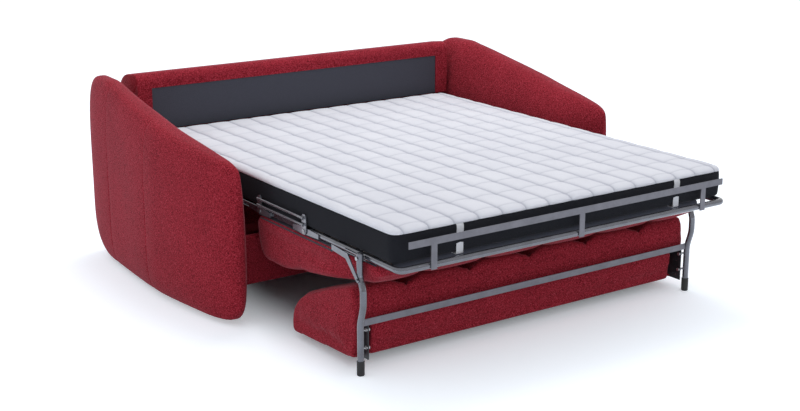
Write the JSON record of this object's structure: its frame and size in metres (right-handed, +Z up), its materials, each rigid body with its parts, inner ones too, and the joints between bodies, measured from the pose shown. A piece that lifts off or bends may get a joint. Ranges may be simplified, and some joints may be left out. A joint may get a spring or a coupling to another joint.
{
  "type": "sofa bed",
  "caption": "Red upholstered sofa bed opened out, with a quilted white mattress on a grey tube frame, rounded arms and two cushions folded under the foot end.",
  "frame": {"origin": "On the floor under the middle of the bounding box of the opened sofa bed.", "axes": "+Z up, +Y towards the sofa's back, -Y towards the foot end of the bed, +X towards the right arm as seen from the foot end."},
  "size_m": [2.1452, 2.1613, 0.83],
  "materials": {
    "upholstery": "red bouclé weave",
    "lining": "smooth charcoal lining cloth",
    "mattress_cover": "quilted white top with charcoal sides",
    "strap_web": "white elastic webbing",
    "frame_steel": "grey powder coat, satin",
    "bright_steel": "zinc-plated steel",
    "black_steel": "black satin paint",
    "black_plastic": "black matte plastic",
    "slat_wood": "dark stained plywood, satin"
  },
  "bodies": {
    "sofa": {"arm_left": "upholstery", "arm_right": "upholstery", "back_body": "upholstery", "back_lining": "lining", "front_panel": "upholstery", "panel_brackets": "bright_steel", "side_plate_left": "frame_steel", "side_plate_right": "frame_steel", "side_plate_bolts": "bright_steel", "floor_glides": "black_plastic"},
    "swing_front": {"swing_links_front": "frame_steel"},
    "swing_rear": {"swing_links_rear": "frame_steel"},
    "middle": {"middle_frame": "frame_steel", "middle_hinge_plates": "frame_steel", "middle_slats": "slat_wood", "swing_studs": "bright_steel", "mattress_head": "mattress_cover"},
    "link": {"link_tubes": "frame_steel", "link_plates": "frame_steel", "link_rods": "frame_steel", "hinge_pins": "bright_steel", "link_slats": "slat_wood", "mattress_fold": "mattress_cover"},
    "foot": {"foot_frame": "frame_steel", "foot_hinge_plates": "frame_steel", "foot_slats": "slat_wood", "foot_guard": "frame_steel", "mattress_straps": "strap_web", "mattress_foot": "mattress_cover", "seat_strips": "frame_steel", "seat_board": "slat_wood", "seat_cushion": "upholstery", "leg_bolts": "bright_steel"},
    "prop": {"leg_left": "frame_steel", "leg_right": "frame_steel", "leg_caps": "black_plastic", "leg_stops": "frame_steel", "cross_bar": "frame_steel", "back_brackets": "black_steel", "back_studs": "bright_steel", "back_board": "slat_wood", "back_cushion": "upholstery"}
  },
  "joints": [
    {"name": "swing_front_pivot", "type": "hinge", "parent": "sofa", "child": "swing_front", "pos_m": [0, -0.02594, 0.20892], "axis": [-1, 0, 0], "range_deg": [0, 112.5]},
    {"name": "swing_rear_pivot", "type": "hinge", "parent": "sofa", "child": "swing_rear", "pos_m": [0, 0.51406, 0.20892], "axis": [-1, 0, 0], "range_deg": [0, 112.5]},
    {"name": "middle_hinge", "type": "hinge", "parent": "swing_front", "child": "middle", "pos_m": [0, 0.05035, 0.44], "axis": [1, 0, 0], "range_deg": [0, 112.5]},
    {"name": "link_hinge", "type": "hinge", "parent": "middle", "child": "link", "pos_m": [0, -0.12965, 0.44], "axis": [-1, 0, 0], "range_deg": [0, 90], "deforming": ["mattress_fold"]},
    {"name": "foot_hinge", "type": "hinge", "parent": "link", "child": "foot", "pos_m": [0, -0.46665, 0.44], "axis": [-1, 0, 0], "range_deg": [0, 90], "deforming": ["mattress_fold"]},
    {"name": "prop_hinge", "type": "hinge", "parent": "foot", "child": "prop", "pos_m": [0, -0.85765, 0.44], "axis": [-1, 0, 0], "range_deg": [0, 90]}
  ],
  "couplings": [
    {"joint": "swing_rear_pivot", "follows": "swing_front_pivot", "ratio": 1},
    {"joint": "middle_hinge", "follows": "swing_front_pivot", "ratio": 1},
    {"joint": "link_hinge", "follows": "swing_front_pivot", "ratio": 0.8},
    {"joint": "foot_hinge", "follows": "swing_front_pivot", "ratio": 0.8},
    {"joint": "prop_hinge", "follows": "swing_front_pivot", "ratio": 0.8}
  ]
}
